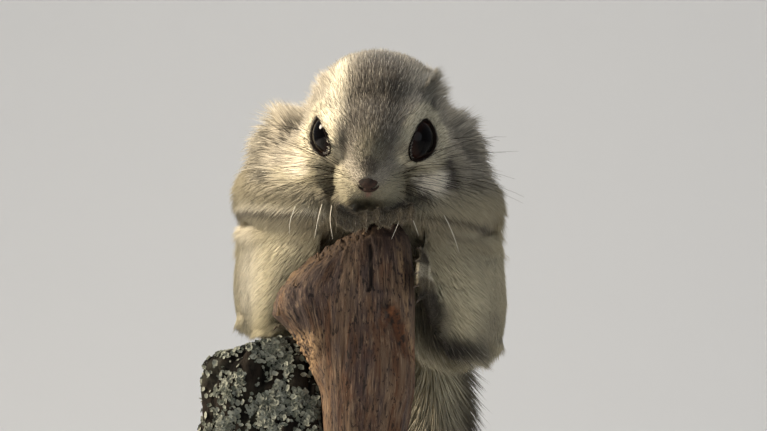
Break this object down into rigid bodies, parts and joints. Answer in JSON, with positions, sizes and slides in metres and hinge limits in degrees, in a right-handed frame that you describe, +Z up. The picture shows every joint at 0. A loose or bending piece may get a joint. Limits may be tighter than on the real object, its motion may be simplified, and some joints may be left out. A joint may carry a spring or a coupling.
{
  "type": "siberian flying squirrel",
  "caption": "Life-size still model of a Siberian flying squirrel peering over a broken branch stub on a cut limb, held by a plain round display stand.",
  "frame": {"origin": "centre of the round base's underside, at floor level; the base is also the object's widest part in X and Y", "axes": "+Z up, the longest extent; the animal faces -Y and its left side is towards +X"},
  "size_m": [0.128, 0.128, 0.1717],
  "materials": {
    "ear_left_surface": "thinly furred skin",
    "ear_right_surface": "thinly furred skin",
    "eye_left_surface": "wet gloss of a dark eye",
    "eye_right_surface": "wet gloss of a dark eye",
    "foot_left_surface": "thinly furred skin",
    "foot_right_surface": "thinly furred skin",
    "foreleg_left_surface": "dense short fur",
    "foreleg_right_surface": "dense short fur",
    "hand_left_surface": "thinly furred skin",
    "hand_right_surface": "thinly furred skin",
    "head_surface": "dense short fur",
    "hindleg_left_surface": "dense short fur",
    "hindleg_right_surface": "dense short fur",
    "nose_surface": "moist bare skin",
    "patagium_left_surface": "soft pale fur",
    "patagium_right_surface": "soft pale fur",
    "perch_limb_surface": "rough bark with lichen",
    "perch_stub_surface": "bare broken wood, dry",
    "stand_base_surface": "dark stained, satin",
    "stand_rod_1_surface": "plain",
    "stand_rod_2_surface": "plain",
    "tail_1_surface": "soft pale fur",
    "tail_2_surface": "soft pale fur",
    "tail_3_surface": "soft pale fur",
    "torso_surface": "dense short fur"
  },
  "bodies": {
    "root": {"ear_left": "ear_left_surface", "ear_right": "ear_right_surface", "eye_left": "eye_left_surface", "eye_right": "eye_right_surface", "foot_left": "foot_left_surface", "foot_right": "foot_right_surface", "foreleg_left": "foreleg_left_surface", "foreleg_right": "foreleg_right_surface", "hand_left": "hand_left_surface", "hand_right": "hand_right_surface", "head": "head_surface", "hindleg_left": "hindleg_left_surface", "hindleg_right": "hindleg_right_surface", "nose": "nose_surface", "patagium_left": "patagium_left_surface", "patagium_right": "patagium_right_surface", "perch_limb": "perch_limb_surface", "perch_stub": "perch_stub_surface", "stand_base": "stand_base_surface", "stand_rod_1": "stand_rod_1_surface", "stand_rod_2": "stand_rod_2_surface", "tail_1": "tail_1_surface", "tail_2": "tail_2_surface", "tail_3": "tail_3_surface", "torso": "torso_surface"}
  },
  "joints": []
}
